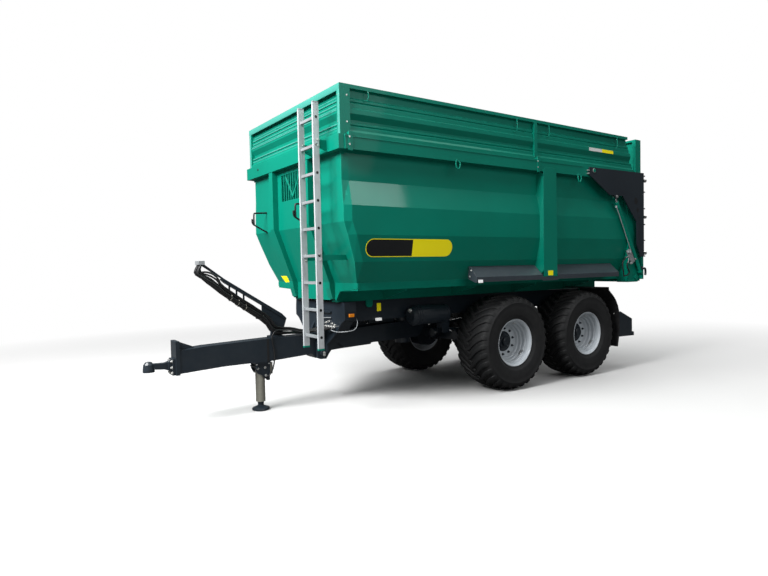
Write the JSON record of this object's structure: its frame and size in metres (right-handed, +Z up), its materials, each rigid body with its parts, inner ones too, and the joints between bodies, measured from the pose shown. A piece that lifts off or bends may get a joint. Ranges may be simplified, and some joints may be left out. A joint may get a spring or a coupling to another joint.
{
  "type": "tandem_tipping_trailer",
  "caption": "Tandem-axle tipping trailer for tractors: one-piece steel tub with folded extension boards, hydraulic tailgate, front ladder, drawbar with ball coupling, jack and hose rack",
  "frame": {"origin": "under the middle of the length and width, on the ground", "axes": "+X forward to the coupling, +Y to the left, +Z up"},
  "size_m": [6.934, 2.58, 3.44],
  "materials": {
    "green": "semi-gloss turquoise green coating",
    "anthracite": "satin anthracite coating",
    "tyre": "matt black moulded tread and walls",
    "silver": "silver lacquer",
    "aluminium": "mill finish profiles",
    "steel": "ground and plated rod",
    "zinc": "zinc plated, slightly dull",
    "plastic": "black moulded plastic"
  },
  "bodies": {
    "chassis": {"chassis_frame": "anthracite", "frame_head": "anthracite", "drawbar": "anthracite", "tow_coupling": "anthracite", "axle_front": "anthracite", "axle_rear": "anthracite", "jack_bracket": "anthracite", "jack_tube": "zinc", "hose_rack": "anthracite", "supply_hoses": "plastic", "air_tank": "anthracite", "mudguard_left": "plastic", "mudguard_right": "plastic", "rear_lamp_beam": "anthracite"},
    "jack_leg": {"jack_leg": "anthracite"},
    "tip_barrel": {"tip_barrel": "anthracite"},
    "tip_stage_1": {"tip_stage_1": "steel"},
    "tip_stage_2": {"tip_stage_2": "steel"},
    "tip_stage_3": {"tip_stage_3": "steel"},
    "tip_stage_4": {"tip_stage_4": "steel"},
    "tip_plunger": {"tip_plunger": "steel"},
    "tub": {"tub_floor": "green", "tub_underframe": "green", "tub_side_left": "green", "tub_side_right": "green", "tub_front_wall": "green", "tub_rear_frame": "green", "top_chords": "green", "side_post_left": "green", "side_post_right": "green", "side_board_left": "green", "side_board_right": "green", "front_board": "green", "skirt_front_left": "anthracite", "skirt_front_right": "anthracite", "skirt_rear_left": "anthracite", "skirt_rear_right": "anthracite", "ladder": "aluminium"},
    "tailgate": {"tailgate_panel": "green", "tailgate_arm_left": "anthracite", "tailgate_arm_right": "anthracite", "tailgate_board": "green"},
    "wheel_front_left": {"tyre_front_left": "tyre", "rim_front_left": "silver"},
    "wheel_rear_left": {"tyre_rear_left": "tyre", "rim_rear_left": "silver"},
    "gate_barrel_left": {"gate_barrel_left": "green"},
    "gate_rod_left": {"gate_rod_left": "steel"},
    "wheel_front_right": {"tyre_front_right": "tyre", "rim_front_right": "silver"},
    "wheel_rear_right": {"tyre_rear_right": "tyre", "rim_rear_right": "silver"},
    "gate_barrel_right": {"gate_barrel_right": "green"},
    "gate_rod_right": {"gate_rod_right": "steel"}
  },
  "joints": [
    {"name": "wheel_front_left_turn", "type": "hinge", "parent": "chassis", "child": "wheel_front_left", "pos_m": [-0.706, 0.933, 0.605], "axis": [0, 1, 0], "continuous": true},
    {"name": "wheel_front_right_turn", "type": "hinge", "parent": "chassis", "child": "wheel_front_right", "pos_m": [-0.706, -0.933, 0.605], "axis": [0, 1, 0], "continuous": true},
    {"name": "wheel_rear_left_turn", "type": "hinge", "parent": "chassis", "child": "wheel_rear_left", "pos_m": [-2.158, 0.933, 0.605], "axis": [0, 1, 0], "continuous": true},
    {"name": "wheel_rear_right_turn", "type": "hinge", "parent": "chassis", "child": "wheel_rear_right", "pos_m": [-2.158, -0.933, 0.605], "axis": [0, 1, 0], "continuous": true},
    {"name": "tub_tip", "type": "hinge", "parent": "chassis", "child": "tub", "pos_m": [-2.882, 0, 1.1], "axis": [0, -1, 0], "range_deg": [0, 48]},
    {"name": "tailgate_swing", "type": "hinge", "parent": "tub", "child": "tailgate", "pos_m": [-2.177, 0, 2.87], "axis": [0, 1, 0], "range_deg": [0, 80]},
    {"name": "gate_barrel_left_swing", "type": "hinge", "parent": "tub", "child": "gate_barrel_left", "pos_m": [-3.332, 1.243, 1.45], "axis": [0, -1, 0], "range_deg": [0, 8.57]},
    {"name": "gate_rod_left_slide", "type": "slide", "parent": "gate_barrel_left", "child": "gate_rod_left", "axis": [0.5004, 0, 0.8658], "range_m": [0, 0.76075]},
    {"name": "gate_barrel_right_swing", "type": "hinge", "parent": "tub", "child": "gate_barrel_right", "pos_m": [-3.332, -1.243, 1.45], "axis": [0, -1, 0], "range_deg": [0, 8.57]},
    {"name": "gate_rod_right_slide", "type": "slide", "parent": "gate_barrel_right", "child": "gate_rod_right", "axis": [0.5004, 0, 0.8658], "range_m": [0, 0.76075]},
    {"name": "tip_barrel_swing", "type": "hinge", "parent": "chassis", "child": "tip_barrel", "pos_m": [0.218, 0, 0.93], "axis": [0, -1, 0], "range_deg": [0, 24]},
    {"name": "tip_stage_1_slide", "type": "slide", "parent": "tip_barrel", "child": "tip_stage_1", "axis": [0, 0, 1], "range_m": [0, 0.49847]},
    {"name": "tip_stage_2_slide", "type": "slide", "parent": "tip_stage_1", "child": "tip_stage_2", "axis": [0, 0, 1], "range_m": [0, 0.49847]},
    {"name": "tip_stage_3_slide", "type": "slide", "parent": "tip_stage_2", "child": "tip_stage_3", "axis": [0, 0, 1], "range_m": [0, 0.49847]},
    {"name": "tip_stage_4_slide", "type": "slide", "parent": "tip_stage_3", "child": "tip_stage_4", "axis": [0, 0, 1], "range_m": [0, 0.49847]},
    {"name": "tip_plunger_slide", "type": "slide", "parent": "tip_stage_4", "child": "tip_plunger", "axis": [0, 0, 1], "range_m": [0, 0.49847]},
    {"name": "jack_leg_slide", "type": "slide", "parent": "chassis", "child": "jack_leg", "axis": [0, 0, 1], "range_m": [-0.25, 0.045]}
  ],
  "couplings": [
    {"joint": "tip_barrel_swing", "follows": "tub_tip", "ratio": 0.5},
    {"joint": "tip_stage_1_slide", "follows": "tub_tip", "m_per_rad": 0.59501},
    {"joint": "tip_stage_2_slide", "follows": "tub_tip", "m_per_rad": 0.59501},
    {"joint": "tip_stage_3_slide", "follows": "tub_tip", "m_per_rad": 0.59501},
    {"joint": "tip_stage_4_slide", "follows": "tub_tip", "m_per_rad": 0.59501},
    {"joint": "tip_plunger_slide", "follows": "tub_tip", "m_per_rad": 0.59501},
    {"joint": "gate_barrel_left_swing", "follows": "tailgate_swing", "ratio": 0.10712},
    {"joint": "gate_rod_left_slide", "follows": "tailgate_swing", "m_per_rad": 0.54484},
    {"joint": "gate_barrel_right_swing", "follows": "tailgate_swing", "ratio": 0.10712},
    {"joint": "gate_rod_right_slide", "follows": "tailgate_swing", "m_per_rad": 0.54484}
  ]
}
